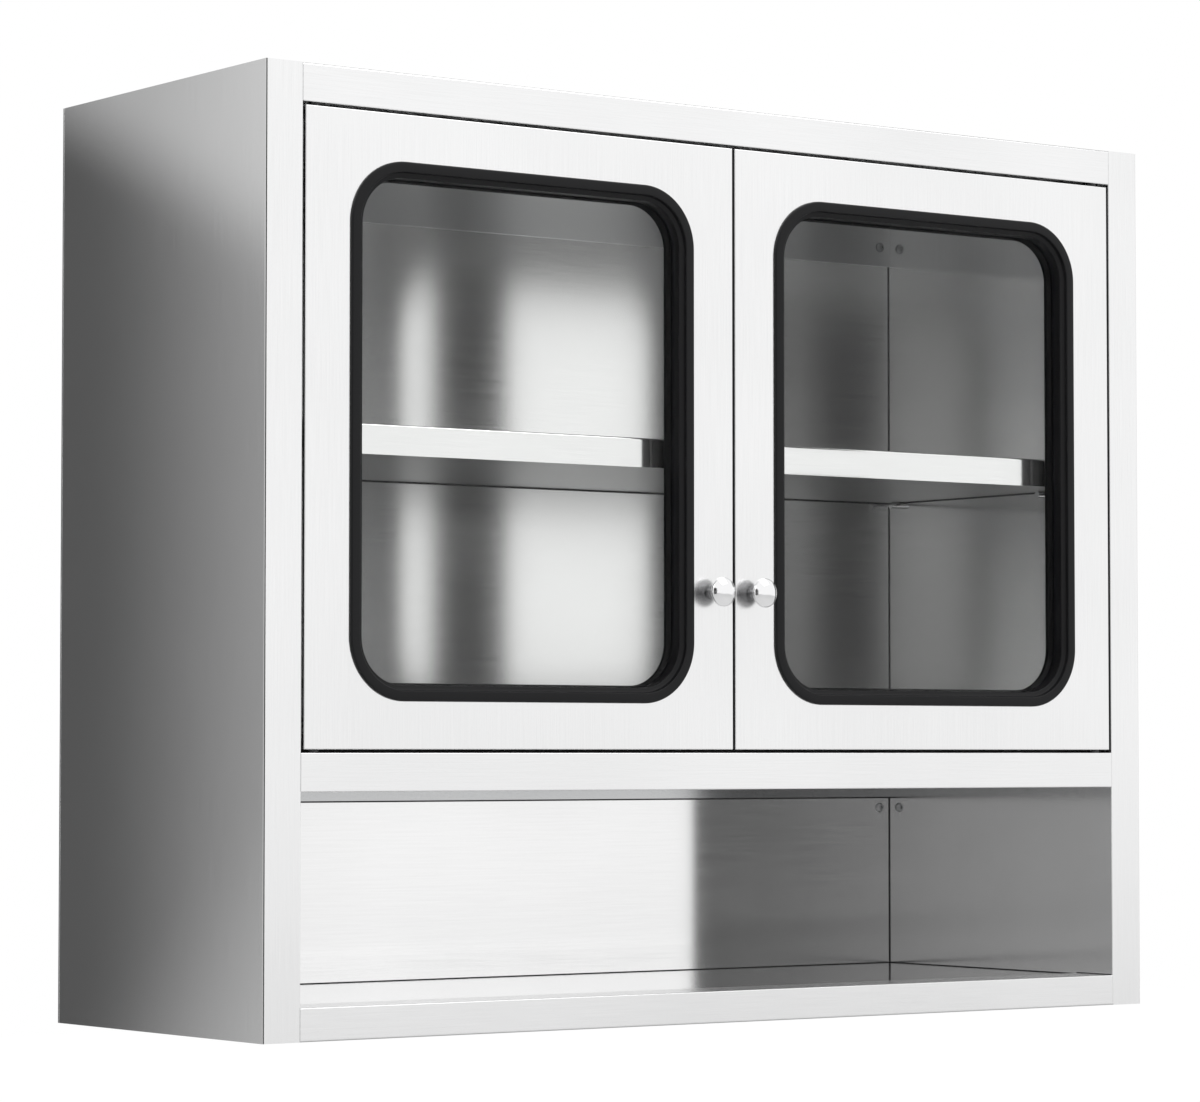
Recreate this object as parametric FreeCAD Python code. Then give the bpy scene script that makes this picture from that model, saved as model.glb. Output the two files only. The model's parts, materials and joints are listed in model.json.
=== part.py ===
import FreeCAD, Part
import math
import os

# Wall cabinet of folded stainless sheet: two glazed doors over a shelf compartment, and an open niche below.
# Millimetres. X runs to the right seen from the front, Y towards the wall and Z up. The pieces are made with
# Z counted from the cabinet's underside and Y from the wall, then moved so that the origin lies on the wall
# plane at the centre of the four wall fixing holes.

Vector = FreeCAD.Vector

# Overall sizes
cabinet_width = 900.0
cabinet_depth = 320.0
cabinet_height = 750.0

# Front frame
stile_width = 33.0
top_rail_height = 30.0
mid_rail_height = 30.0
bottom_rail_height = 26.0
niche_opening_height = 164.0
frame_return_depth = 26.0
floor_lip_depth = 45.0

# Sheet work
sheet = 1.0
fold_radius = 1.6
crisp_fold_radius = 0.8
back_flange_width = 20.0
inner_flange_width = 15.0

# Inner panels
inner_back_setback = 16.0
ceiling_drop = 10.0
deck_rise = 10.0
panel_seam_gap = 0.8
niche_floor_start = 20.0

# Wall fixing
hanging_rail_height = 35.0
hanging_rail_thickness = 2.0
fixing_hole_radius = 3.5
fixing_side_inset = 12.0
fixing_niche_inset = 21.0
niche_strip_height = 11.0

# Shelf
shelf_clear_below = 223.0
shelf_thickness = 24.0
shelf_front_inset = 29.0
shelf_side_gap = 1.5
shelf_back_gap = 2.0
shelf_pin_radius = 3.0
shelf_pin_reach = 10.0
shelf_pin_front_inset = 86.0
shelf_pin_back_inset = 14.0

# Doors
door_gap = 2.5
meeting_gap = 2.5
door_thickness = 20.0
inner_skin_flange = 8.0
window_side_margin = 41.0
window_end_margin = 37.25
window_corner_radius = 50.0

# Glazing gasket, measured inwards from its outer edge and back from the door's front face
gasket_height = 2.5
gasket_overlap = 6.0
gasket_step = 8.5
gasket_wall = 12.5
glass_depth = 13.5
glass_thickness = 4.0
glass_bite = 3.8
glass_clearance = 0.1
gasket_rear_lip = 2.0
gasket_rear_height = 2.5
gasket_rear_start = 1.5

# Pivot hinges
pivot_inset = 12.0
pivot_depth = 7.0
pivot_pin_radius = 3.0
pivot_pin_reach = 10.0
pivot_clearance = 0.05
bush_wall = 1.5
bush_length = 11.0

# Knobs
knob_edge_inset = 20.25
knob_height = 128.5
knob_head_radius = 12.0
knob_neck_radius = 5.0
knob_neck_length = 11.0
knob_rim_height = 4.5
knob_crown_radius = 9.0
knob_height_over_door = 20.0

# Magnetic catches and buffers
catch_offset = 60.0
catch_length = 44.0
catch_depth = 14.0
catch_height = 12.0
magnet_length = 30.0
magnet_height = 5.0
magnet_depth = 10.0
magnet_proud = 1.0
magnet_clearance = 0.2
catch_gap = 0.3
strike_thickness = 1.0
strike_length = 40.0
strike_height = 12.0
buffer_length = 14.0
buffer_height = 5.0
buffer_inset = 60.0
buffer_gap = 0.3

# Places that follow from the sizes
front = -cabinet_depth
half_width = cabinet_width / 2
opening_half = half_width - stile_width
return_end = front + frame_return_depth
inner_back = -inner_back_setback
niche_bottom = bottom_rail_height
niche_top = niche_bottom + niche_opening_height
door_opening_bottom = niche_top + mid_rail_height
door_opening_top = cabinet_height - top_rail_height
ceiling = door_opening_top - ceiling_drop
deck = door_opening_bottom + deck_rise
deck_seam = (niche_top + door_opening_bottom) / 2
niche_floor = niche_bottom - sheet
shelf_underside = deck + shelf_clear_below
shelf_pin_centre = shelf_underside - shelf_pin_radius
shelf_pin_rows = (front + shelf_pin_front_inset, inner_back - shelf_pin_back_inset)
fixing_half_span = opening_half - fixing_side_inset
fixing_heights = (niche_top - fixing_niche_inset, ceiling - hanging_rail_height / 2)
mount_height = sum(fixing_heights) / 2

door_left = -opening_half + door_gap
door_right = -meeting_gap / 2
door_bottom = door_opening_bottom + door_gap
door_top = door_opening_top - door_gap
door_back = front + door_thickness
pivot_x = door_left + pivot_inset
pivot_y = front + pivot_depth
knob_x = door_right - knob_edge_inset
knob_z = door_bottom + knob_height
catch_x = -catch_offset
catch_z = ceiling - catch_height / 2
magnet_face = door_back + strike_thickness + catch_gap


# Drawing planes and outlines
def plan(u, v):
    return Vector(u, v, 0)


def section(u, v):
    return Vector(0, u, v)


def elevation(u, v):
    return Vector(u, 0, v)


plane_normals = {plan: Vector(0, 0, 1), section: Vector(1, 0, 0), elevation: Vector(0, 1, 0)}


def rounded_wire(corners, radii, plane):
    """Closed wire through flat corners, each rounded by its own radius."""
    starts = []
    middles = []
    ends = []
    for index, (u, v) in enumerate(corners):
        corner = Vector(u, v, 0)
        before = (Vector(*corners[index - 1], 0) - corner).normalize()
        after = (Vector(*corners[(index + 1) % len(corners)], 0) - corner).normalize()
        half_angle = before.getAngle(after) / 2
        if radii[index] <= 0:
            starts.append(corner)
            middles.append(None)
            ends.append(corner)
            continue
        cut_back = radii[index] / math.tan(half_angle)
        bisector = (before + after).normalize()
        starts.append(corner + before * cut_back)
        middles.append(corner + bisector * (radii[index] / math.sin(half_angle) - radii[index]))
        ends.append(corner + after * cut_back)
    edges = []
    for index, middle in enumerate(middles):
        start = plane(starts[index].x, starts[index].y)
        end = plane(ends[index].x, ends[index].y)
        following = starts[(index + 1) % len(corners)]
        next_start = plane(following.x, following.y)
        if middle is not None:
            edges.append(Part.Arc(start, plane(middle.x, middle.y), end).toShape())
        if end.distanceToPoint(next_start) > 1e-6:
            edges.append(Part.LineSegment(end, next_start).toShape())
    return Part.Wire(edges)


def extruded(wire, plane, start, end):
    """Solid of a wire drawn in a plane, between two places along the plane's normal."""
    along = plane_normals[plane]
    solid = Part.Face(wire).extrude(along * (end - start))
    solid.translate(along * start)
    return solid


def box(x_range, y_range, z_range):
    corner = Vector(x_range[0], y_range[0], z_range[0])
    return Part.makeBox(x_range[1] - x_range[0], y_range[1] - y_range[0], z_range[1] - z_range[0], corner)


def cylinder(radius, start, end):
    """Round bar between two points."""
    along = end - start
    return Part.makeCylinder(radius, along.Length, start, along)


def folded_sheet(face_line, radii, plane, start, end, thickness=sheet):
    """Sheet folded along an open line, its thickness left of the line, with one outer radius for each fold."""
    points = [Vector(u, v, 0) for u, v in face_line]
    normals = []
    for here, there in zip(points, points[1:]):
        along = (there - here).normalize()
        normals.append(Vector(-along.y, along.x, 0))
    near = [points[0]]
    far = [points[0] + normals[0] * thickness]
    near_radii = [0]
    far_radii = [0]
    for index, radius in enumerate(radii):
        before, after = normals[index], normals[index + 1]
        point = points[index + 1]
        near.append(point)
        far.append(point + (before + after) * (thickness / (1 + before.dot(after))))
        turns_left = before.cross(after).z > 0
        inside_radius = max(radius - thickness, 0)
        near_radii.append(radius if turns_left else inside_radius)
        far_radii.append(inside_radius if turns_left else radius)
    near.append(points[-1])
    far.append(points[-1] + normals[-1] * thickness)
    near_radii.append(0)
    far_radii.append(0)
    corners = [(p.x, p.y) for p in near + far[::-1]]
    return extruded(rounded_wire(corners, near_radii + far_radii[::-1], plane), plane, start, end)


def rounded_window(inset, plane_start, plane_end):
    """Plate with the window's outline, drawn in by an inset from the gasket's outer edge."""
    return extruded(window_wire(inset), elevation, plane_start, plane_end)


def window_wire(inset):
    left = door_left + window_side_margin + inset
    right = door_right - window_side_margin - inset
    bottom = door_bottom + window_end_margin + inset
    top = door_top - window_end_margin - inset
    radius = window_corner_radius - inset
    middle = (left + right) / 2
    corners = [(middle, bottom), (right, bottom), (right, top), (left, top), (left, bottom)]
    return rounded_wire(corners, [0, radius, radius, radius, radius], elevation)


def edges_at(shape, axis, value):
    """Edges of a shape that lie wholly in a plane across an axis."""
    chosen = []
    for edge in shape.Edges:
        if all(abs(getattr(vertex.Point, axis) - value) < 1e-6 for vertex in edge.Vertexes):
            chosen.append(edge)
    return chosen


def mirrored(shape):
    return shape.mirror(Vector(0, 0, 0), Vector(1, 0, 0))


def pair(shape):
    """The shape and its mirror image, as separate solids."""
    return Part.makeCompound([shape, mirrored(shape)])


# Outer carcass
def side_panel():
    """Left side: front stile with its folded-back edge, outer skin and back flange in one sheet."""
    line = [
        (-half_width + back_flange_width, -sheet),
        (-half_width, -sheet),
        (-half_width, front),
        (-opening_half, front),
        (-opening_half, return_end),
    ]
    radii = [fold_radius, fold_radius, crisp_fold_radius]
    panel = folded_sheet(line, radii, plan, 0, cabinet_height)
    inside = ((-half_width + sheet, 0), (front + sheet, 0))
    panel = panel.cut(box(*inside, (cabinet_height - sheet, cabinet_height)))
    return panel.cut(box(*inside, (0, sheet)))


def notched_for_sides(panel, rail_low, rail_high, rail_depth):
    """Clears a top or bottom panel from the stiles and from the back flanges of the sides."""
    for side in (-1, 1):
        stile = sorted((side * opening_half, side * half_width))
        flange = sorted((side * (half_width - back_flange_width), side * half_width))
        panel = panel.cut(box(stile, (front, front + sheet), (0, cabinet_height)))
        panel = panel.cut(box(stile, (front, front + rail_depth), (rail_low, rail_high)))
        panel = panel.cut(box(flange, (-sheet - fold_radius, 0), (sheet, cabinet_height - sheet)))
    return panel


def top_panel():
    line = [
        (return_end, door_opening_top),
        (front, door_opening_top),
        (front, cabinet_height),
        (-sheet, cabinet_height),
        (-sheet, cabinet_height - back_flange_width),
    ][::-1]
    radii = [fold_radius, fold_radius, crisp_fold_radius]
    half_span = half_width - sheet
    panel = folded_sheet(line, radii, section, -half_span, half_span)
    return notched_for_sides(panel, door_opening_top, cabinet_height - sheet, frame_return_depth)


def bottom_panel():
    line = [
        (front + floor_lip_depth, niche_bottom),
        (front, niche_bottom),
        (front, 0),
        (-sheet, 0),
        (-sheet, back_flange_width),
    ]
    radii = [crisp_fold_radius, fold_radius, fold_radius]
    half_span = half_width - sheet
    panel = folded_sheet(line, radii, section, -half_span, half_span)
    return notched_for_sides(panel, sheet, niche_bottom, floor_lip_depth)


def mid_rail():
    """Channel between the doors and the niche."""
    line = [
        (return_end, door_opening_bottom),
        (front, door_opening_bottom),
        (front, niche_top),
        (return_end, niche_top),
    ]
    return folded_sheet(line, [crisp_fold_radius] * 2, section, -opening_half, opening_half)


def fixing_holes(y_start, y_end, heights):
    """Round cutters for the wall fixings."""
    cutters = []
    for x in (-fixing_half_span, fixing_half_span):
        for z in heights:
            cutters.append(cylinder(fixing_hole_radius, Vector(x, y_start, z), Vector(x, y_end, z)))
    return Part.makeCompound(cutters)


def back_panel():
    panel = box((-half_width, half_width), (-sheet, 0), (0, cabinet_height))
    return panel.cut(fixing_holes(-sheet, 0, fixing_heights))


# Inner carcass
def side_liner():
    """Left inner wall, folded outwards at the back until it meets the outer skin."""
    line = [
        (-opening_half, return_end),
        (-opening_half, inner_back + sheet),
        (-half_width + sheet, inner_back + sheet),
    ]
    return folded_sheet(line, [0], plan, sheet, cabinet_height - sheet)


def inner_back_panel():
    sheet_back = inner_back + sheet
    half_span = opening_half - panel_seam_gap
    panel = box((-half_span, half_span), (inner_back, sheet_back), (sheet, cabinet_height - sheet))
    return panel.cut(fixing_holes(inner_back, sheet_back, fixing_heights))


def inner_tray(level, front_edge, flange_side):
    """Level panel between the side liners, with its front and back flanges folded up or down."""
    back_edge = level + flange_side * inner_flange_width
    line = [(return_end, front_edge), (return_end, level), (inner_back, level), (inner_back, back_edge)]
    if flange_side < 0:
        line = line[::-1]
    return folded_sheet(line, [0, 0], section, -opening_half, opening_half)


def niche_floor_panel():
    """Floor of the niche, standing on the bottom panel by its side flanges, a seam away from the walls."""
    half_span = opening_half - panel_seam_gap
    line = [
        (half_span, sheet),
        (half_span, niche_floor),
        (-half_span, niche_floor),
        (-half_span, sheet),
    ]
    return folded_sheet(line, [0, 0], elevation, front + niche_floor_start, inner_back - panel_seam_gap)


def niche_strip():
    """Narrow strip on the inner back, under the niche's ceiling."""
    y_range = (inner_back - hanging_rail_thickness, inner_back)
    return box((-opening_half, opening_half), y_range, (niche_top - niche_strip_height, niche_top))


def hanging_rail():
    rail_front = inner_back - hanging_rail_thickness
    rail = box((-opening_half, opening_half), (rail_front, inner_back), (ceiling - hanging_rail_height, ceiling))
    return rail.cut(fixing_holes(rail_front, inner_back, fixing_heights[1:]))


# Shelf
def shelf_pan():
    """Shelf folded down on all four sides, with its front fold rounded."""
    half_span = opening_half - shelf_side_gap
    shelf_front = front + shelf_front_inset
    shelf_back = inner_back - shelf_back_gap
    shelf_top = shelf_underside + shelf_thickness
    pan = box((-half_span, half_span), (shelf_front, shelf_back), (shelf_underside, shelf_top))
    front_fold = [edge for edge in edges_at(pan, "z", shelf_top) if abs(edge.CenterOfMass.y - shelf_front) < 1e-6]
    pan = pan.makeFillet(fold_radius, front_fold)
    hollow = box(
        (-half_span + sheet, half_span - sheet),
        (shelf_front + sheet, shelf_back - sheet),
        (shelf_underside, shelf_top - sheet),
    )
    return pan.cut(hollow)


def shelf_underplate():
    half_span = opening_half - shelf_side_gap - sheet
    y_range = (front + shelf_front_inset + sheet, inner_back - shelf_back_gap - sheet)
    return box((-half_span, half_span), y_range, (shelf_underside, shelf_underside + sheet))


def shelf_pins():
    """Round studs on the side liners, under the shelf's ends."""
    pins = []
    for y in shelf_pin_rows:
        wall = Vector(-opening_half, y, shelf_pin_centre)
        pin = cylinder(shelf_pin_radius, wall, wall + Vector(shelf_pin_reach, 0, 0))
        pins += [pin, mirrored(pin)]
    return Part.makeCompound(pins)


# Doors, made for the left side
def window_hole(y_start, y_end):
    return rounded_window(gasket_overlap, y_start, y_end)


def door_outer_skin():
    """Front sheet of the door with its edges folded back, drilled for the bushes."""
    skin = box((door_left, door_right), (front, door_back), (door_bottom, door_top))
    skin = skin.makeFillet(crisp_fold_radius, edges_at(skin, "y", front))
    hollow = box(
        (door_left + sheet, door_right - sheet),
        (front + sheet, door_back),
        (door_bottom + sheet, door_top - sheet),
    )
    skin = skin.cut(hollow)
    skin = skin.cut(window_hole(front, front + sheet))
    bush_radius = pivot_pin_radius + pivot_clearance + bush_wall
    for z in (door_bottom, door_top - sheet):
        foot = Vector(pivot_x, pivot_y, z)
        skin = skin.cut(cylinder(bush_radius, foot, foot + Vector(0, 0, sheet)))
    return skin


def door_inner_skin():
    """Back sheet of the door, set inside the folded edges of the front sheet."""
    skin_range = ((door_left + sheet, door_right - sheet), (door_bottom + sheet, door_top - sheet))
    flange_front = door_back - inner_skin_flange
    skin = box(skin_range[0], (flange_front, door_back), skin_range[1])
    skin = skin.makeFillet(crisp_fold_radius, edges_at(skin, "y", door_back))
    hollow = box(
        (skin_range[0][0] + sheet, skin_range[0][1] - sheet),
        (flange_front, door_back - sheet),
        (skin_range[1][0] + sheet, skin_range[1][1] - sheet),
    )
    skin = skin.cut(hollow)
    return skin.cut(window_hole(door_back - sheet, door_back))


def swept_round_window(corners):
    """Profile of inward distance and depth, swept along the window's rounded outline."""
    middle = (door_left + door_right) / 2
    bottom = door_bottom + window_end_margin

    def profile_plane(inward, depth):
        return Vector(middle, front + depth, bottom + inward)

    profile = rounded_wire(corners, [0] * len(corners), profile_plane)
    return window_wire(0).makePipeShell([profile], True, False)


def door_gasket():
    """Rubber profile that clasps both door skins and holds the pane in an inner groove."""
    pane_front = glass_depth
    pane_back = glass_depth + glass_thickness
    pane_edge = gasket_wall - glass_bite
    lip = gasket_wall + gasket_rear_lip
    rear = door_thickness + gasket_rear_height
    outline = [
        (0, -gasket_height),
        (gasket_step, -gasket_height),
        (gasket_step, 0),
        (gasket_wall, 0),
        (gasket_wall, pane_front),
        (pane_edge, pane_front),
        (pane_edge, pane_back),
        (lip, pane_back),
        (lip, rear),
        (gasket_rear_start, rear),
        (gasket_rear_start, door_thickness),
        (gasket_overlap, door_thickness),
        (gasket_overlap, 0),
        (0, 0),
    ]
    return swept_round_window(outline)


def door_glass():
    inset = gasket_wall - glass_bite + glass_clearance
    y_range = (front + glass_depth + glass_clearance, front + glass_depth + glass_thickness - glass_clearance)
    return rounded_window(inset, *y_range)


def knob():
    """Turned knob: a straight neck, a broad rim and a narrower flat crown."""
    rim_end = knob_neck_length + knob_rim_height
    outline = [
        (0, 0),
        (knob_neck_radius, 0),
        (knob_neck_radius, knob_neck_length),
        (knob_head_radius, knob_neck_length),
        (knob_head_radius, rim_end),
        (knob_crown_radius, rim_end),
        (knob_crown_radius, knob_height_over_door),
        (0, knob_height_over_door),
    ]
    points = [Vector(knob_x + radius, front - proud, knob_z) for radius, proud in outline]
    return Part.Face(Part.makePolygon(points + points[:1])).revolve(points[0], Vector(0, 1, 0), 360)


def pivot_bushes():
    """Plain plastic sleeves in the door's lower and upper edges; the door rides on the lower one."""
    inner_radius = pivot_pin_radius + pivot_clearance
    bushes = []
    for door_edge, rail_z in ((door_bottom, door_opening_bottom), (door_top, door_opening_top)):
        outward = math.copysign(1, rail_z - door_edge)
        outer_end = Vector(pivot_x, pivot_y, rail_z - outward * pivot_clearance)
        inner_end = Vector(pivot_x, pivot_y, door_edge - outward * bush_length)
        sleeve = cylinder(inner_radius + bush_wall, inner_end, outer_end)
        bushes.append(sleeve.cut(cylinder(inner_radius, inner_end, outer_end)))
    return Part.makeCompound(bushes)


def hinge_pins():
    """Studs on the rails that stand in the door's bushes."""
    pins = []
    for door_edge, rail_z in ((door_bottom, door_opening_bottom), (door_top, door_opening_top)):
        inward = math.copysign(pivot_pin_reach, door_edge - rail_z)
        tip = Vector(pivot_x, pivot_y, door_edge + inward)
        pins.append(cylinder(pivot_pin_radius, Vector(pivot_x, pivot_y, rail_z), tip))
    return Part.makeCompound(pins)


def strike_plate():
    half_length = strike_length / 2
    half_height = strike_height / 2
    return box(
        (catch_x - half_length, catch_x + half_length),
        (door_back, door_back + strike_thickness),
        (catch_z - half_height, catch_z + half_height),
    )


def door_buffers():
    """Rubber pads on the inside of the door, along its lower edge."""
    middle = (door_bottom + deck) / 2
    z_range = (middle - buffer_height / 2, middle + buffer_height / 2)
    pads = []
    for x in (door_left + buffer_inset, door_right - buffer_inset):
        x_range = (x - buffer_length / 2, x + buffer_length / 2)
        pads.append(box(x_range, (door_back, return_end - buffer_gap), z_range))
    return Part.makeCompound(pads)


# Magnetic catches under the ceiling, the left one drawn
def catch_magnet(clearance=0.0):
    half_length = magnet_length / 2 + clearance
    half_height = magnet_height / 2 + clearance
    return box(
        (catch_x - half_length, catch_x + half_length),
        (magnet_face, magnet_face + magnet_depth + clearance),
        (catch_z - half_height, catch_z + half_height),
    )


def catch_housing():
    half_length = catch_length / 2
    housing_front = magnet_face + magnet_proud
    housing = box(
        (catch_x - half_length, catch_x + half_length),
        (housing_front, housing_front + catch_depth),
        (ceiling - catch_height, ceiling),
    )
    return housing.cut(catch_magnet(magnet_clearance))


# All pieces by name
pieces = {
    "side_panel_left": side_panel(),
    "side_panel_right": mirrored(side_panel()),
    "top_panel": top_panel(),
    "bottom_panel": bottom_panel(),
    "mid_rail": mid_rail(),
    "back_panel": back_panel(),
    "inner_back_panel": inner_back_panel(),
    "side_liner_left": side_liner(),
    "side_liner_right": mirrored(side_liner()),
    "ceiling_panel": inner_tray(ceiling, cabinet_height - sheet, 1),
    "deck_floor": inner_tray(deck, deck_seam, -1),
    "niche_ceiling": inner_tray(niche_top, deck_seam, 1),
    "niche_floor": niche_floor_panel(),
    "hanging_rail": hanging_rail(),
    "niche_strip": niche_strip(),
    "shelf_pan": shelf_pan(),
    "shelf_underplate": shelf_underplate(),
    "shelf_pins": shelf_pins(),
    "hinge_pins_left": hinge_pins(),
    "hinge_pins_right": mirrored(hinge_pins()),
    "catch_housings": pair(catch_housing()),
    "catch_magnets": pair(catch_magnet()),
}
door_pieces = {
    "outer_skin": door_outer_skin(),
    "inner_skin": door_inner_skin(),
    "gasket": door_gasket(),
    "glass": door_glass(),
    "knob": knob(),
    "pivot_bushes": pivot_bushes(),
    "strike_plate": strike_plate(),
    "buffers": door_buffers(),
}
for name, shape in door_pieces.items():
    pieces["left_door_" + name] = shape
    pieces["right_door_" + name] = mirrored(shape)

os.makedirs("parts", exist_ok=True)
for name, shape in pieces.items():
    shape.translate(Vector(0, 0, -mount_height))
    shape.exportStep("parts/" + name + ".step")
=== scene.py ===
import json
import math
import bpy
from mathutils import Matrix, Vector


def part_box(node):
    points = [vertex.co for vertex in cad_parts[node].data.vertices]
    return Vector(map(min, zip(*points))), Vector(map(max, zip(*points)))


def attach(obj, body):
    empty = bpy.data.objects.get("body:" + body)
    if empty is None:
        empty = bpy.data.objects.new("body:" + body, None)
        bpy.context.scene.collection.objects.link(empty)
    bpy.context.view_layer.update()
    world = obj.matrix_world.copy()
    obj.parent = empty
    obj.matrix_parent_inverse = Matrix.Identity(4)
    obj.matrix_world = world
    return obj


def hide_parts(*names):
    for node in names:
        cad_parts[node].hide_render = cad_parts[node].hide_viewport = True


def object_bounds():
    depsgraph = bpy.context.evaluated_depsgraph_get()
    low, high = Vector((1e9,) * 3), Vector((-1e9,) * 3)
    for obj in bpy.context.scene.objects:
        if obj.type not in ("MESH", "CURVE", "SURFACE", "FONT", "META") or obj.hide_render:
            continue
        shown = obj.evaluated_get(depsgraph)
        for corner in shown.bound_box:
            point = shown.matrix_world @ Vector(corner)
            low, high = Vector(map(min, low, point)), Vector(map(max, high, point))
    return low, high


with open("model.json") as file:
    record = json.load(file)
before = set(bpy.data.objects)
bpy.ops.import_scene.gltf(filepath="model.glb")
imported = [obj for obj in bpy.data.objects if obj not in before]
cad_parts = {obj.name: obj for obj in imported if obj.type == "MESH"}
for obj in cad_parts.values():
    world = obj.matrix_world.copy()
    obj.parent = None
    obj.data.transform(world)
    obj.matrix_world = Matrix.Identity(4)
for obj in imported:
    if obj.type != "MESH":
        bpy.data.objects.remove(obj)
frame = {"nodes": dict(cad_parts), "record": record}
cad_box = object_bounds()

# Wall cabinet of brushed stainless steel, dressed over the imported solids. Metres, in their frame:
# X to the right seen from the front, Y towards the wall, Z up, with the origin on the wall at the
# middle of the fixings.

nodes = frame["nodes"]
scene = bpy.context.scene
scene.view_settings.view_transform = "Standard"
# Light goes many times between the mirror-like walls and through the panes.
scene.cycles.max_bounces = 24
scene.cycles.glossy_bounces = 16
scene.cycles.transmission_bounces = 24
mm = 0.001
sides = ("left", "right")


# Shader helpers: most add nodes to a tree and return the socket with the result
def shader_of(material):
    return material.node_tree.nodes["Principled BSDF"]


def new_material(name):
    material = bpy.data.materials.new(name)
    material.use_nodes = True
    return material, material.node_tree, shader_of(material)


def object_place(tree):
    return tree.nodes.new("ShaderNodeTexCoord").outputs["Object"]


def coordinate(tree, axis):
    """One coordinate of the place in object space."""
    split = tree.nodes.new("ShaderNodeSeparateXYZ")
    tree.links.new(object_place(tree), split.inputs["Vector"])
    return split.outputs[axis]


def calculated(tree, operation, *values):
    """Result of a math node; each value is a number or a socket."""
    node = tree.nodes.new("ShaderNodeMath")
    node.operation = operation
    for socket, value in zip(node.inputs, values):
        if isinstance(value, bpy.types.NodeSocket):
            tree.links.new(value, socket)
        else:
            socket.default_value = value
    return node.outputs["Value"]


def summed(tree, values):
    total = values[0]
    for value in values[1:]:
        total = calculated(tree, "ADD", total, value)
    return total


def remapped(tree, value, source, target, interpolation="LINEAR"):
    """Value carried from one range over to another."""
    node = tree.nodes.new("ShaderNodeMapRange")
    node.interpolation_type = interpolation
    node.inputs["From Min"].default_value, node.inputs["From Max"].default_value = source
    node.inputs["To Min"].default_value, node.inputs["To Max"].default_value = target
    tree.links.new(value, node.inputs["Value"])
    return node.outputs["Result"]


def risen(tree, place, weights, low, high, amount):
    """Smooth rise from 0 to an amount, where a weighted sum of the coordinates goes from low to
    high."""
    along = tree.nodes.new("ShaderNodeVectorMath")
    along.operation = "DOT_PRODUCT"
    along.inputs[1].default_value = weights
    tree.links.new(place, along.inputs[0])
    return remapped(tree, along.outputs["Value"], (low, high), (0.0, amount), "SMOOTHSTEP")


def between(tree, share, colours, positions=(0.0, 1.0)):
    """Colour between two others."""
    node = tree.nodes.new("ShaderNodeValToRGB")
    for element, colour, position in zip(node.color_ramp.elements, colours, positions):
        element.position = position
        element.color = (*colour, 1)
    tree.links.new(share, node.inputs["Fac"])
    return node.outputs["Color"]


def scaled(tree, colour, factor):
    """Colour times a factor."""
    node = tree.nodes.new("ShaderNodeVectorMath")
    node.operation = "SCALE"
    tree.links.new(colour, node.inputs["Vector"])
    tree.links.new(factor, node.inputs["Scale"])
    return node.outputs["Vector"]


def mixed(tree, share, first, second):
    """Shader that goes from the first to the second with the share."""
    node = tree.nodes.new("ShaderNodeMixShader")
    tree.links.new(share, node.inputs["Fac"])
    tree.links.new(first, node.inputs[1])
    tree.links.new(second, node.inputs[2])
    return node.outputs["Shader"]


def stretched_noise(tree, stretch, scale, detail):
    """Noise in object space, drawn out along the axes that have a small stretch factor."""
    mapping = tree.nodes.new("ShaderNodeMapping")
    mapping.inputs["Scale"].default_value = stretch
    noise = tree.nodes.new("ShaderNodeTexNoise")
    noise.inputs["Scale"].default_value = scale
    noise.inputs["Detail"].default_value = detail
    tree.links.new(object_place(tree), mapping.inputs["Vector"])
    tree.links.new(mapping.outputs["Vector"], noise.inputs["Vector"])
    return noise.outputs["Fac"]


def add_relief(tree, height, strength, distance, shader):
    node = tree.nodes.new("ShaderNodeBump")
    node.inputs["Strength"].default_value = strength
    node.inputs["Distance"].default_value = distance
    tree.links.new(height, node.inputs["Height"])
    tree.links.new(node.outputs["Normal"], shader.inputs["Normal"])


# Materials
even = (1, 1, 1)
noise_span = (0.3, 0.7)
brush_scale = 900.0
brush_detail = 3.0
brush_gloss = (0.93, 1.07)
brush_shade = (0.965, 1.0)
brush_depth = 0.05 * mm
cloud_scale = 5.0
cloud_detail = 2.0
cloud_shade = 0.96
moulded_detail = 4.0
moulded_gloss = (0.85, 1.15)
moulded_shade = 0.85
moulded_depth = 0.1 * mm
turned_stretch = (1, 0.02, 1)
turned_roughness = (0.08, 0.12)
grading_width = 0.5 * mm
painted_fold_reflection_low = 1.0 * mm
painted_fold_reflection_high = 0.7 * mm


def shaded(colour, share):
    return [channel * share for channel in colour]


def brushed_steel(name, colour, roughness, grain, bump):
    """Stainless sheet with a fine brushed grain, faint cloudy colour and uneven gloss."""
    material, tree, shader = new_material(name)
    shader.inputs["Metallic"].default_value = 1.0
    fine = stretched_noise(tree, grain, brush_scale, brush_detail)
    cloud = stretched_noise(tree, even, cloud_scale, cloud_detail)
    gloss = remapped(tree, fine, noise_span, [roughness * share for share in brush_gloss])
    tree.links.new(gloss, shader.inputs["Roughness"])
    clouded = between(tree, cloud, (shaded(colour, cloud_shade), colour), noise_span)
    grained = scaled(tree, clouded, remapped(tree, fine, noise_span, brush_shade))
    tree.links.new(grained, shader.inputs["Base Color"])
    add_relief(tree, fine, bump, brush_depth, shader)
    return material


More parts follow.
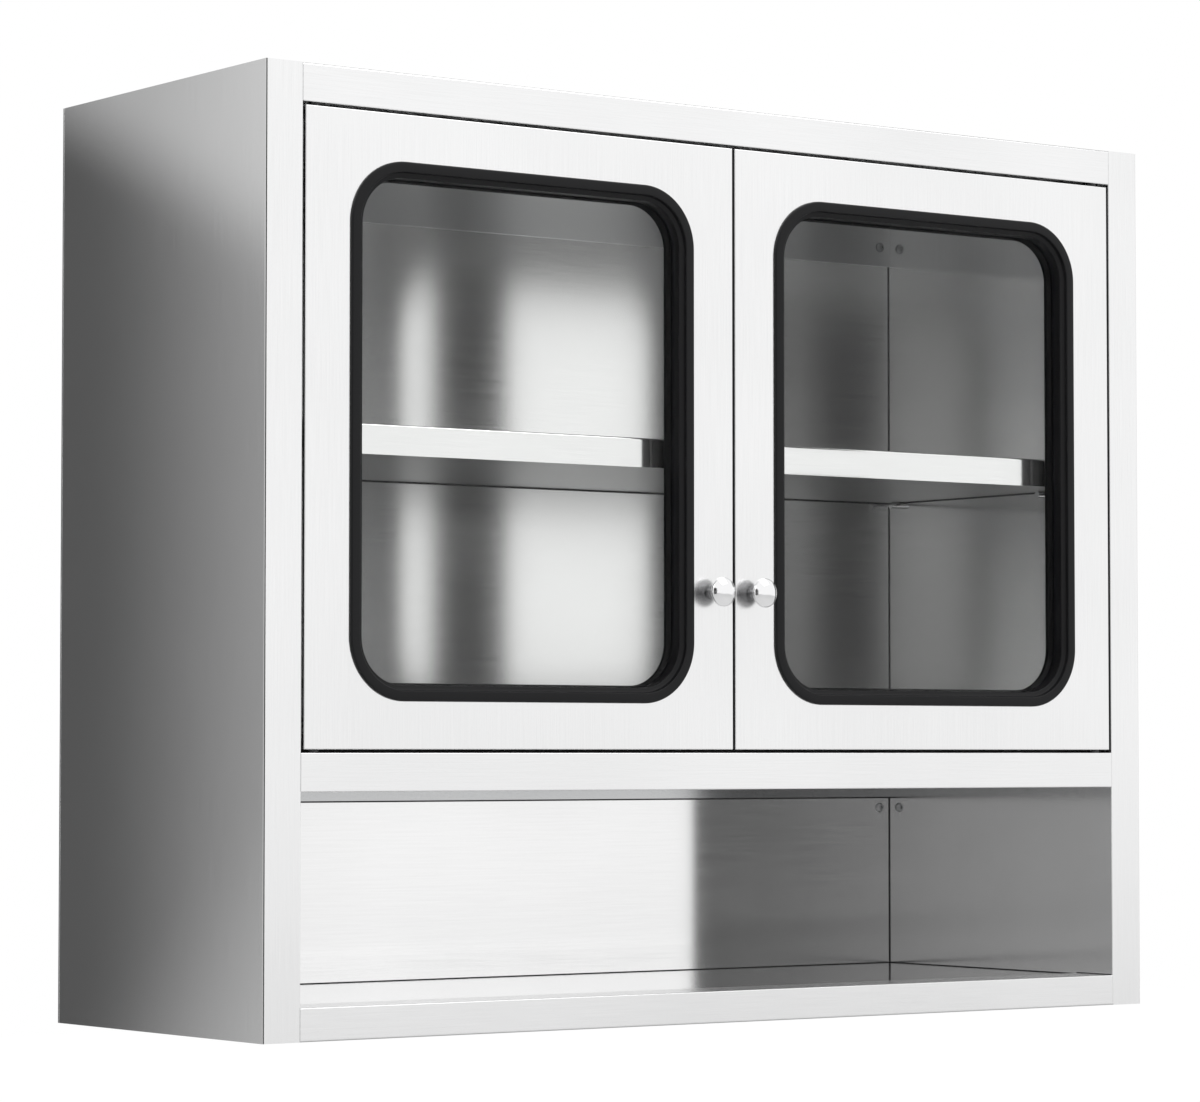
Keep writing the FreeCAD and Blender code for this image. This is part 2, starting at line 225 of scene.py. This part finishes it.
def moulded(name, colour, roughness, scale, bump, specular=0.5):
    """Rubber or plastic with a fine moulded grain."""
    material, tree, shader = new_material(name)
    shader.inputs["Specular IOR Level"].default_value = specular
    grain = stretched_noise(tree, even, scale, moulded_detail)
    gloss = remapped(tree, grain, noise_span, [roughness * share for share in moulded_gloss])
    tree.links.new(gloss, shader.inputs["Roughness"])
    grained = between(tree, grain, (shaded(colour, moulded_shade), colour))
    tree.links.new(grained, shader.inputs["Base Color"])
    add_relief(tree, grain, bump, moulded_depth, shader)
    return material


def turned_steel(name, bright, dull, low, high):
    """Polished steel of a knob, with a painted shade on the side that faces the door; low and high
    are places along Y."""
    material, tree, shader = new_material(name)
    shader.inputs["Metallic"].default_value = 1.0
    share = remapped(tree, coordinate(tree, "Y"), (low, high), (0.0, 1.0))
    tree.links.new(between(tree, share, (bright, dull)), shader.inputs["Base Color"])
    fine = stretched_noise(tree, turned_stretch, brush_scale, brush_detail)
    gloss = remapped(tree, fine, noise_span, turned_roughness)
    tree.links.new(gloss, shader.inputs["Roughness"])
    return material


def clear_glass(name, colour, refraction):
    material, _, shader = new_material(name)
    shader.inputs["Base Color"].default_value = (*colour, 1)
    shader.inputs["Roughness"].default_value = 0.0
    shader.inputs["IOR"].default_value = refraction
    shader.inputs["Transmission Weight"].default_value = 1.0
    return material


def graded_roughness(material, axis, place, shares):
    """Multiplies a steel's roughness by one share before a place on an axis and another past it;
    X counts both ways."""
    tree = material.node_tree
    shader = shader_of(material)
    rough = shader.inputs["Roughness"].links[0].from_socket
    along = coordinate(tree, axis)
    if axis == "X":
        along = calculated(tree, "ABSOLUTE", along)
    share = remapped(tree, along, (place, place + grading_width), shares)
    tree.links.new(calculated(tree, "MULTIPLY", rough, share), shader.inputs["Roughness"])


def drawn_reflections(material, amount):
    """Draws the reflections of an upright panel's front out up and down, across its level grain."""
    tree = material.node_tree
    shader = shader_of(material)
    shader.inputs["Anisotropic"].default_value = amount
    upright = tree.nodes.new("ShaderNodeTangent")
    upright.direction_type = "RADIAL"
    upright.axis = "X"
    tree.links.new(upright.outputs["Tangent"], shader.inputs["Tangent"])


def painted_fold_reflection(material, across, shade):
    """Paints a dark reflection into a steel along the cabinet's outer front folds, in the middle of
    their rounding; across is the axis that points out beside the front, and the outer face's
    distance on it."""
    tree = material.node_tree
    shader = shader_of(material)
    colour = shader.inputs["Base Color"].links[0].from_socket
    centred = tree.nodes.new("ShaderNodeVectorMath")
    centred.operation = "SUBTRACT"
    centred.inputs[1].default_value = (0, 0, (cad_box[0][2] + cad_box[1][2]) / 2)
    tree.links.new(object_place(tree), centred.inputs[0])
    distance = tree.nodes.new("ShaderNodeVectorMath")
    distance.operation = "ABSOLUTE"
    tree.links.new(centred.outputs["Vector"], distance.inputs[0])
    covers = []
    for weights, edge in (across, ((0, 1, 0), -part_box("top_panel")[0][1])):
        low = edge - painted_fold_reflection_low
        high = edge - painted_fold_reflection_high
        covers.append(risen(tree, distance.outputs["Vector"], weights, low, high, 1.0))
    both = calculated(tree, "MULTIPLY", *covers)
    factor = calculated(tree, "MULTIPLY_ADD", both, shade - 1.0, 1.0)
    tree.links.new(scaled(tree, colour, factor), shader.inputs["Base Color"])


steel_colour = (0.925, 0.926, 0.928)
steel_roughness = 0.22
steel_bump = 0.02
level_grain = (0.02, 1, 1)
upright_grain = (1, 1, 0.02)
outer_steel = brushed_steel("outer_steel", steel_colour, steel_roughness, upright_grain, steel_bump)

# The stiles' inner edges are smoother than their fronts and sides.
side_steel = brushed_steel("side_steel", steel_colour, steel_roughness, upright_grain, steel_bump)
stile_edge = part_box("niche_ceiling")[1][0] + 0.7 * mm
graded_roughness(side_steel, "X", stile_edge, shares=(0.55, 1.0))
# Painted dark reflection down the middle of the side panels' front folds.
painted_fold_reflection(side_steel, ((1, 0, 0), cad_box[1][0]), shade=0.12)

rail_front_steel = brushed_steel(
    "rail_front_steel", steel_colour, steel_roughness, level_grain, steel_bump
)
# Painted dark reflection along the rails' top and bottom front folds.
half_height = (cad_box[1][2] - cad_box[0][2]) / 2
painted_fold_reflection(rail_front_steel, ((0, 0, 1), half_height), shade=0.5)

# The inner back is sharper in the niche than behind the doors.
inner_back_steel = brushed_steel(
    "inner_back_steel", (0.97, 0.97, 0.97), roughness=0.12, grain=level_grain, bump=0.003
)
graded_roughness(inner_back_steel, "Z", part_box("mid_rail")[0][2], shares=(1.0, 1.55))
drawn_reflections(inner_back_steel, 0.8)

# Darker copies of the steel: painted shade on the hanging rail and on the niche's strip, under the
# ceilings.
rail_steel = brushed_steel(
    "rail_steel", (0.58, 0.585, 0.59), roughness=0.3, grain=level_grain, bump=0.003
)
drawn_reflections(rail_steel, 0.9)

inner_steel = brushed_steel(
    "inner_steel", (0.92, 0.92, 0.92), roughness=0.12, grain=upright_grain, bump=0.003
)
door_inner_steel = brushed_steel(
    "door_inner_steel", (0.93, 0.93, 0.93), roughness=0.2, grain=upright_grain, bump=0.01
)
shaded_strip_steel = brushed_steel(
    "shaded_strip_steel", (0.56, 0.565, 0.57), roughness=0.14, grain=level_grain, bump=0.01
)
# Darkened copy of the steel: painted shade under the shelf; the wall screws take it too.
painted_shade_steel = brushed_steel(
    "painted_shade_steel", (0.30, 0.303, 0.306), roughness=0.3, grain=level_grain, bump=0.02
)
floor_steel = brushed_steel(
    "floor_steel", (0.90, 0.90, 0.90), roughness=0.11, grain=level_grain, bump=0.01
)
bright_steel = brushed_steel(
    "bright_steel", (0.90, 0.90, 0.905), roughness=0.10, grain=even, bump=0.01
)
gasket_rubber = moulded(
    "gasket_rubber", (0.007, 0.007, 0.008), roughness=0.42, scale=1400.0, bump=0.10, specular=0.22
)
buffer_rubber = moulded(
    "buffer_rubber", (0.03, 0.03, 0.032), roughness=0.6, scale=900.0, bump=0.2
)
bush_plastic = moulded(
    "bush_plastic", (0.03, 0.03, 0.032), roughness=0.45, scale=700.0, bump=0.1
)
catch_plastic = moulded(
    "catch_plastic", (0.88, 0.88, 0.86), roughness=0.35, scale=700.0, bump=0.1
)
magnet_iron = moulded(
    "magnet_iron", (0.12, 0.12, 0.13), roughness=0.5, scale=1200.0, bump=0.2
)
# The photo shows weak reflections in the panes, so they bend light less than plain glass.
glass = clear_glass("clear_glass", (0.99, 0.995, 0.99), refraction=1.22)

slot_materials = {
    "outer_steel": outer_steel,
    "door_steel": outer_steel,
    "door_inner_steel": door_inner_steel,
    "inner_steel": inner_steel,
    "back_steel": outer_steel,
    "shelf_steel": floor_steel,
    "rail_steel": rail_steel,
    "pin_steel": bright_steel,
    "strike_steel": bright_steel,
    "knob_steel": bright_steel,
    "gasket_rubber": gasket_rubber,
    "buffer_rubber": buffer_rubber,
    "glass": glass,
    "bush_plastic": bush_plastic,
    "catch_plastic": catch_plastic,
    "magnet": magnet_iron,
}
node_materials = {
    "side_panel_left": side_steel,
    "side_panel_right": side_steel,
    "inner_back_panel": inner_back_steel,
    "top_panel": rail_front_steel,
    "mid_rail": rail_front_steel,
    "bottom_panel": rail_front_steel,
    "niche_strip": shaded_strip_steel,
    "niche_floor": floor_steel,
    "shelf_underplate": painted_shade_steel,
    "niche_ceiling": floor_steel,
    "deck_floor": floor_steel,
    "ceiling_panel": floor_steel,
}
for subpart in frame["record"]["subparts"]:
    node = nodes[subpart["node"]]
    slot_material = slot_materials[subpart["material_slot"]]
    node.data.materials.clear()
    node.data.materials.append(node_materials.get(subpart["node"], slot_material))


# Mesh helpers
def mesh_piece(name, vertices, faces, material, smooth=True):
    mesh = bpy.data.meshes.new(name)
    mesh.from_pydata([tuple(vertex) for vertex in vertices], [], faces)
    mesh.validate()
    mesh.update()
    for polygon in mesh.polygons:
        polygon.use_smooth = smooth
    mesh.materials.append(material)
    piece = bpy.data.objects.new(name, mesh)
    scene.collection.objects.link(piece)
    return piece


def arc_points(centre, radius, start, end, steps):
    """Points along an arc in a profile, angles in degrees."""
    points = []
    for step in range(steps + 1):
        angle = math.radians(start + (end - start) * step / steps)
        points.append((centre[0] + radius * math.cos(angle), centre[1] + radius * math.sin(angle)))
    return points


def ring_faces(rows, columns, wrap_rows):
    """Quads between rings of points; the last ring joins the first if asked."""
    faces = []
    for row in range(rows if wrap_rows else rows - 1):
        following = (row + 1) % rows
        for column in range(columns):
            across = (column + 1) % columns
            faces.append((
                row * columns + column,
                row * columns + across,
                following * columns + across,
                following * columns + column,
            ))
    return faces


def capped_faces(rows, columns):
    """Quads between rings of points, with the first and the last ring closed."""
    last = (rows - 1) * columns
    first_cap = tuple(reversed(range(columns)))
    last_cap = tuple(last + column for column in range(columns))
    return ring_faces(rows, columns, False) + [first_cap, last_cap]


def turned_piece(name, profile, centre, material, steps=64):
    """Body turned about a line along Y, from a profile of radius and distance in front of the
    centre."""
    vertices = []
    for radius, proud in profile:
        for step in range(steps):
            angle = 2 * math.pi * step / steps
            place = Vector((radius * math.cos(angle), -proud, radius * math.sin(angle)))
            vertices.append(centre + place)
    return mesh_piece(name, vertices, capped_faces(len(profile), steps), material)


# Gaskets, swept round the rounded windows
corner_radius = 50 * mm
corner_steps = 24
ring_size = 4 * (corner_steps + 1)


def gasket_profile():
    """Distance inwards from the gasket's outer edge and depth behind the door's face, in
    millimetres."""
    profile = [(0.0, 0.0)]
    profile += arc_points((1.5, -1.0), 1.5, 180, 270, 6)
    profile += arc_points((7.5, -1.6), 0.9, 270, 360, 5)
    profile += [(8.45, 0.4), (8.7, 1.2), (9.2, 1.5)]
    profile += arc_points((11.6, 2.8), 0.9, 270, 360, 4)
    profile += [(12.5, 6.0), (12.5, 9.5), (12.5, 13.5), (8.7, 13.5), (8.7, 17.5), (14.5, 17.5)]
    profile += arc_points((13.1, 21.1), 1.4, 0, 90, 5)
    profile += arc_points((2.9, 21.1), 1.4, 90, 180, 5)
    profile += [(1.5, 20.0), (6.0, 20.0), (6.0, 0.0)]
    return profile


def window_ring(low, high, inset):
    """Points of the window's rounded outline, drawn in from the gasket's outer edge."""
    corners = [
        (high[0] - corner_radius, low[2] + corner_radius, -90),
        (high[0] - corner_radius, high[2] - corner_radius, 0),
        (low[0] + corner_radius, high[2] - corner_radius, 90),
        (low[0] + corner_radius, low[2] + corner_radius, 180),
    ]
    radius = corner_radius - inset
    points = []
    for centre_x, centre_z, start in corners:
        points += arc_points((centre_x, centre_z), radius, start, start + 90, corner_steps)
    return points


for side in sides:
    low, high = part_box(side + "_door_gasket")
    face_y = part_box(side + "_door_outer_skin")[0][1]
    vertices = []
    profile = gasket_profile()
    for inward, depth in profile:
        for x, z in window_ring(low, high, inward * mm):
            vertices.append((x, face_y + depth * mm, z))
    faces = ring_faces(len(profile), ring_size, True)
    gasket = mesh_piece(side + "_gasket_dressed", vertices, faces, gasket_rubber)
    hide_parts(side + "_door_gasket")
    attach(gasket, side + "_door")


# Knobs, turned
def knob_profile():
    """Radius and distance in front of the door, in millimetres."""
    profile = [(6.2, 0.0), (6.2, 0.9), (5.9, 1.2), (5.2, 1.5)]
    profile += arc_points((7.4, 4.6), 3.2, 240, 180, 6)
    profile += arc_points((8.6, 6.6), 4.4, 180, 105, 10)
    profile += arc_points((9.7, 13.3), 2.3, -70, 62, 14)
    profile += [(9.2, 16.35), (7.2, 17.4), (6.4, 17.75), (4.4, 18.2), (2.2, 18.5), (0.5, 18.6)]
    return profile


# The knobs' steel darkens towards the door: painted shade on the back of the head.
knob_face_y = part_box("left_door_outer_skin")[0][1]
shade_fade_start = 12 * mm
painted_shade_start = 10.5 * mm
knob_steel = turned_steel(
    "knob_steel",
    bright=(0.92, 0.92, 0.925),
    dull=(0.22, 0.22, 0.225),
    low=knob_face_y - shade_fade_start,
    high=knob_face_y - painted_shade_start,
)
for side in sides:
    low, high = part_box(side + "_door_knob")
    centre = Vector(((low[0] + high[0]) / 2, high[1], (low[2] + high[2]) / 2))
    profile = [(radius * mm, proud * mm) for radius, proud in knob_profile()]
    knob = turned_piece(side + "_knob_dressed", profile, centre, knob_steel)
    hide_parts(side + "_door_knob")
    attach(knob, side + "_door")


# Dark strips of the buffers' rubber, put in as painted shade
def shade_strip(name, ends, section, body):
    """Strip along X between two ends, from a section of points in Y and Z."""
    vertices = [(x, y, z) for x in ends for y, z in section]
    faces = capped_faces(len(ends), len(section))
    piece = mesh_piece(name, vertices, faces, buffer_rubber, False)
    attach(piece, body)


def shade_bead(name, low, high, body="carcass"):
    """Thin square dark bead between two corners, for painted shade."""
    section = [(low[1], low[2]), (high[1], low[2]), (high[1], high[2]), (low[1], high[2])]
    shade_strip(name, (low[0], high[0]), section, body)


# Dark strips behind the gaps under and over the doors, on the fronts of the inner trays: painted
# shade
gap_shade_height = 4 * mm
gap_shade_bevel = gap_shade_height * 0.2
gap_shade_thickness = 0.6 * mm


def gap_shade_strip(name, carrier, top):
    """Flat strip with bevelled edges."""
    low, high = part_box(carrier)
    face = low[1]
    front = face - gap_shade_thickness
    bottom = top - gap_shade_height
    section = [(face, top), (front, top - gap_shade_bevel), (front, bottom + gap_shade_bevel), (face, bottom)]
    shade_strip(name, (low[0], high[0]), section, "carcass")


lower_gap_shade_drop = 0.4 * mm
upper_gap_shade_rise = 2.2 * mm
door_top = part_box("left_door_outer_skin")[1][2]
gap_shade_strip("lower_gap_shade_strip", "deck_floor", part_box("left_door_buffers")[0][2] - lower_gap_shade_drop)
gap_shade_strip("upper_gap_shade_strip", "ceiling_panel", door_top + upper_gap_shade_rise)

# Dark beads, painted shade: in the seams round the niche's floor and on its lip, a painted shadow
# under the strip at its top, and in the upright back corners
bead_sink = 0.8 * mm
bead_rise = 0.7 * mm
bead_setback = 46 * mm
lip_setback = 2 * mm
strip_bead_drop = 1.3 * mm
corner_half = 0.5 * mm
niche_low, niche_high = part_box("niche_ceiling")
floor_low, floor_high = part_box("niche_floor")
strip_low, strip_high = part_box("niche_strip")
back_low, back_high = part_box("inner_back_panel")
bead_base = floor_high[2] - bead_sink
bead_top = floor_high[2] + bead_rise
bead_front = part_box("bottom_panel")[0][1] + bead_setback
shade_bead(
    "niche_back_seam",
    (niche_low[0], floor_high[1], bead_base),
    (niche_high[0], back_low[1], bead_top),
)
lip_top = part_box("bottom_panel")[1][2]
lip_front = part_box("bottom_panel")[0][1] + lip_setback
floor_edges = (
    ("left", niche_low[0], floor_low[0]),
    ("right", floor_high[0], niche_high[0]),
)
for name, front, back, bottom, top in (
    ("_seam", bead_front, floor_high[1], bead_base, bead_top),
    ("_lip_seam", lip_front, bead_front, lip_top, lip_top + bead_rise),
):
    for side, start, end in floor_edges:
        shade_bead("niche_" + side + name, (start, front, bottom), (end, back, top))
strip_line = strip_low[2] - strip_bead_drop
shade_bead(
    "niche_strip_seam",
    (strip_low[0], strip_low[1], strip_line),
    (strip_high[0], back_low[1], strip_low[2]),
)
deck_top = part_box("deck_floor")[1][2]
rail_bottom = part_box("hanging_rail")[0][2]
corner_front = back_low[1] - corner_half
corner_back = back_low[1] + corner_half
back_edges = (
    ("_left_corner", niche_low[0], back_low[0]),
    ("_right_corner", back_high[0], niche_high[0]),
)
for room, bottom, top in (("niche", bead_top, strip_line), ("upper", deck_top, rail_bottom)):
    for name, start, end in back_edges:
        shade_bead(room + name, (start, corner_front, bottom), (end, corner_back, top))

# Dark strips in the upright gaps, on the stiles beside the doors and on the doors' meeting edges:
# painted shade
strip_thickness = 0.4 * mm
strip_inset = 1 * mm
strip_depth = 7 * mm
for side, outward in (("left", -1), ("right", 1)):
    door_low, door_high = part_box(side + "_door_outer_skin")
    stile_low, stile_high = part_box("side_panel_" + side)
    stile_face = stile_high[0] if side == "left" else stile_low[0]
    meeting_face = door_high[0] if side == "left" else door_low[0]
    for name, face, body in (
        ("_jamb_gap_shade", stile_face, "carcass"),
        ("_meeting_gap_shade", meeting_face, side + "_door"),
    ):
        proud_face = face - outward * strip_thickness
        shade_bead(
            side + name,
            (min(face, proud_face), door_low[1] + strip_inset, door_low[2] + strip_inset),
            (max(face, proud_face), door_low[1] + strip_depth, door_high[2] - strip_inset),
            body,
        )

# Dark strips under the shelf's back and sides, broken at the studs: painted shade under the shelf
shelf_shade_drop = 1.3 * mm
shelf_shade_rise = 0.7 * mm
stud_room = 6.5 * mm
stud_gap = 0.5 * mm
shelf_low, shelf_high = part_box("shelf_pan")
pins_low, pins_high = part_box("shelf_pins")
shelf_shade_low = shelf_low[2] - shelf_shade_drop
shelf_shade_high = shelf_low[2] + shelf_shade_rise
shade_bead(
    "shelf_back_shade",
    (shelf_low[0], shelf_high[1], shelf_shade_low),
    (shelf_high[0], back_low[1], shelf_shade_high),
)
shelf_shade_runs = (
    (shelf_low[1], pins_low[1] - stud_gap),
    (pins_low[1] + stud_room, pins_high[1] - stud_room),
    (pins_high[1] + stud_gap, shelf_high[1]),
)
shelf_edges = (
    ("left", pins_low[0], shelf_low[0]),
    ("right", shelf_high[0], pins_high[0]),
)
for number, (front, back) in enumerate(shelf_shade_runs, 1):
    for side, start, end in shelf_edges:
        shade_bead(
            "shelf_%s_edging_%d" % (side, number),
            (start, front, shelf_shade_low),
            (end, back, shelf_shade_high),
        )

# Small fasteners: button-headed screws with a hexagonal socket; each ring is a share of the head's
# radius and a height in the same measure
screw_steps = 48
screw_dome = [(1.0, 0.0), (1.0, 0.12), (0.94, 0.28), (0.80, 0.42), (0.62, 0.52)]
screw_socket = [(0.40, 0.55), (0.39, 0.20), (0.10, 0.16)]


def hexagon_radius(flat_radius, angle):
    within = (angle % (math.pi / 3)) - math.pi / 6
    return flat_radius / math.cos(within)


def button_screw(name, seat, direction, radius, body, material=bright_steel):
    """Domed screw head on a seat, facing along a direction."""
    outward = Vector(direction).normalized()
    across = outward.orthogonal().normalized()
    upward = outward.cross(across)
    rings = screw_dome + screw_socket
    vertices = []
    for number, (share, height) in enumerate(rings):
        for step in range(screw_steps):
            angle = 2 * math.pi * step / screw_steps
            place = across * math.cos(angle) + upward * math.sin(angle)
            reach = radius * share
            if number >= len(screw_dome):
                reach = hexagon_radius(reach, angle)
            vertices.append(Vector(seat) + place * reach + outward * (radius * height))
    piece = mesh_piece(name, vertices, capped_faces(len(rings), screw_steps), material, False)
    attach(piece, body)


fixing_half_span = 0.405
fixing_half_rise = 0.26175
wall_screw_radius = 4.6 * mm
knob_screw_radius = 4.5 * mm
strike_screw_radius = 1.6 * mm
strike_screw_shares = (0.06, 0.94)
to_front = (0, -1, 0)
to_back = (0, 1, 0)
rail_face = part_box("hanging_rail")[0][1]
for side, x in (("left", -fixing_half_span), ("right", fixing_half_span)):
    for name, face, z in (
        ("_upper_wall_screw", rail_face, fixing_half_rise),
        ("_lower_wall_screw", back_low[1], -fixing_half_rise),
    ):
        button_screw(side + name, (x, face, z), to_front, wall_screw_radius, "carcass", painted_shade_steel)
    door = side + "_door"
    knob_low, knob_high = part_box(door + "_knob")
    inner_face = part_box(door + "_inner_skin")[1][1]
    knob_place = ((knob_low[0] + knob_high[0]) / 2, inner_face, (knob_low[2] + knob_high[2]) / 2)
    button_screw(side + "_knob_screw", knob_place, to_back, knob_screw_radius, door)
    plate_low, plate_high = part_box(door + "_strike_plate")
    for number, share in enumerate(strike_screw_shares, 1):
        screw_x = plate_low[0] + (plate_high[0] - plate_low[0]) * share
        screw_place = (screw_x, plate_high[1], (plate_low[2] + plate_high[2]) / 2)
        screw_name = side + "_strike_screw_" + str(number)
        button_screw(screw_name, screw_place, to_back, strike_screw_radius, door)


# Floor and studio cards
def stage_plane(name, corners, material):
    piece = mesh_piece(name, corners, [(0, 1, 2, 3)], material, False)


def upright_card(name, start, end, bottom, top, material):
    """Card that stands on a line from start to end, given in X and Y."""
    stage_plane(name, [(*start, bottom), (*end, bottom), (*end, top), (*start, top)], material)


def surface_of(tree):
    return tree.nodes["Material Output"].inputs["Surface"]


def emission(tree, strength):
    """Plain white light of a strength that is a number or a socket."""
    node = tree.nodes.new("ShaderNodeEmission")
    if isinstance(strength, bpy.types.NodeSocket):
        tree.links.new(strength, node.inputs["Strength"])
    else:
        node.inputs["Strength"].default_value = strength
    return node.outputs["Emission"]


def transparent(tree):
    return tree.nodes.new("ShaderNodeBsdfTransparent").outputs["BSDF"]


def ray_kind(tree, kind):
    return tree.nodes.new("ShaderNodeLightPath").outputs[kind]


def floor_material(name, colour, roughness, white_strength, white_share):
    """Pale floor that the camera sees as nearly white, with the object's shadow kept; clear from
    below."""
    material, tree, shader = new_material(name)
    shader.inputs["Base Color"].default_value = (*colour, 1)
    shader.inputs["Roughness"].default_value = roughness
    share = calculated(tree, "MULTIPLY", ray_kind(tree, "Is Camera Ray"), white_share)
    whitened = mixed(tree, share, shader.outputs["BSDF"], emission(tree, white_strength))
    below = tree.nodes.new("ShaderNodeNewGeometry").outputs["Backfacing"]
    tree.links.new(mixed(tree, below, whitened, transparent(tree)), surface_of(tree))
    return material


def card_material(name, level, shades):
    """Grey studio card that only reflections show; its brightness is a level and the shades added
    to it."""
    material, tree, shader = new_material(name)
    tree.nodes.remove(shader)
    place = object_place(tree)
    base = tree.nodes.new("ShaderNodeValue").outputs["Value"]
    base.default_value = level
    brightness = summed(tree, [base] + [risen(tree, place, *shade) for shade in shades])
    seen = ray_kind(tree, "Is Camera Ray")
    surface = mixed(tree, seen, emission(tree, brightness), transparent(tree))
    tree.links.new(surface, surface_of(tree))
    return material


def strip_material(name, level, edges):
    """Soft-edged dark strip that only light through the panes shows."""
    material, tree, shader = new_material(name)
    tree.nodes.remove(shader)
    place = object_place(tree)
    cover = summed(tree, [risen(tree, place, *edge) for edge in edges])
    share = calculated(tree, "MULTIPLY", cover, ray_kind(tree, "Is Transmission Ray"))
    surface = mixed(tree, share, transparent(tree), emission(tree, level))
    tree.links.new(surface, surface_of(tree))
    return material


floor_level = cad_box[0][2] - 0.9
floor_reach = 12.0
stage_plane(
    "floor",
    [
        (-floor_reach, -floor_reach, floor_level),
        (floor_reach, -floor_reach, floor_level),
        (floor_reach, floor_reach, floor_level),
        (-floor_reach, floor_reach, floor_level),
    ],
    floor_material("floor", (0.9, 0.9, 0.9), roughness=0.9, white_strength=1.1, white_share=0.8),
)

# Shades and edges: the weights of X, Y and Z, where the rise starts and ends, and its amount
side_shades = [
    ((-1, 0, 0), 0.49, 0.74, 0.28),
    ((-0.6, 0, 1.4), 0.66, 0.80, 0.32),
    ((-1, 0, -1), 0.90, 1.15, 0.15),
]
upright_card(
    "side_card",
    start=(-0.43, 0.03),
    end=(-2.6, 0.03),
    bottom=-0.8,
    top=0.55,
    material=card_material("side_card", level=0.095, shades=side_shades),
)
room_shades = [
    ((-0.811, 0.585, 0), -0.45, 0.40, 0.22),
    ((0, 0, 1), 0.15, 0.75, -0.088),
    ((0, 0, -1), 0.1, 0.45, -0.04),
]
upright_card(
    "room_card",
    start=(-3.2, -2.75),
    end=(-1.5, -3.98),
    bottom=-0.8,
    top=1.3,
    material=card_material("room_card", level=0.11, shades=room_shades),
)
strip_edges = [((1, 0, 0), 0.125, 0.142, 1.0), ((1, 0, 0), 0.212, 0.226, -1.0)]
dark_strip = strip_material("strip_card", level=0.02, edges=strip_edges)
for name, bottom, top in (("lower", -0.6, 0.027), ("upper", 0.054, 0.6)):
    upright_card(name + "_strip_card", (0.11, -0.36), (0.24, -0.36), bottom, top, dark_strip)

# World: white where it is seen, mirrored or looked at through glass, and dimmer as light
ambient_strength = 0.7
backdrop_strength = 1.0
world = bpy.data.worlds.new("studio")
scene.world = world
world.use_nodes = True
world_tree = world.node_tree
ambient = world_tree.nodes["Background"]
backdrop = world_tree.nodes.new("ShaderNodeBackground")
for background, strength in ((ambient, ambient_strength), (backdrop, backdrop_strength)):
    background.inputs["Color"].default_value = (1, 1, 1, 1)
    background.inputs["Strength"].default_value = strength
seen = ray_kind(world_tree, "Is Camera Ray")
for kind in ("Is Glossy Ray", "Is Transmission Ray"):
    seen = calculated(world_tree, "MAXIMUM", seen, ray_kind(world_tree, kind))
sky = mixed(world_tree, seen, ambient.outputs["Background"], backdrop.outputs["Background"])
world_tree.links.new(sky, world_tree.nodes["World Output"].inputs["Surface"])


# Lamps
def area_lamp(name, place, target, size, power):
    lamp = bpy.data.lights.new(name, "AREA")
    lamp.shape = "RECTANGLE"
    lamp.size, lamp.size_y = size
    lamp.energy = power
    piece = bpy.data.objects.new(name, lamp)
    piece.location = place
    aim = Vector(target) - Vector(place)
    piece.rotation_euler = aim.to_track_quat("-Z", "Y").to_euler()
    scene.collection.objects.link(piece)


lamp_target = (0, -0.2, 0)
area_lamp("key", (1.6, -2.6, 3.0), lamp_target, size=(2.4, 1.8), power=30)
area_lamp("fill", (-3.0, -1.6, 2.4), lamp_target, size=(1.6, 1.2), power=8)

# Camera, fitted to the cabinet's edges in the photo
camera_place = (-2.1489, -3.1024, -0.2107)
camera_tilt = 92.694
camera_turn = -35.884
camera_data = bpy.data.cameras.new("camera")
camera_data.sensor_fit = "HORIZONTAL"
camera_data.sensor_width = 36.0
camera_data.lens = 128.585
camera = bpy.data.objects.new("camera", camera_data)
camera.location = camera_place
camera.rotation_euler = (math.radians(camera_tilt), 0, math.radians(camera_turn))
scene.collection.objects.link(camera)
scene.camera = camera
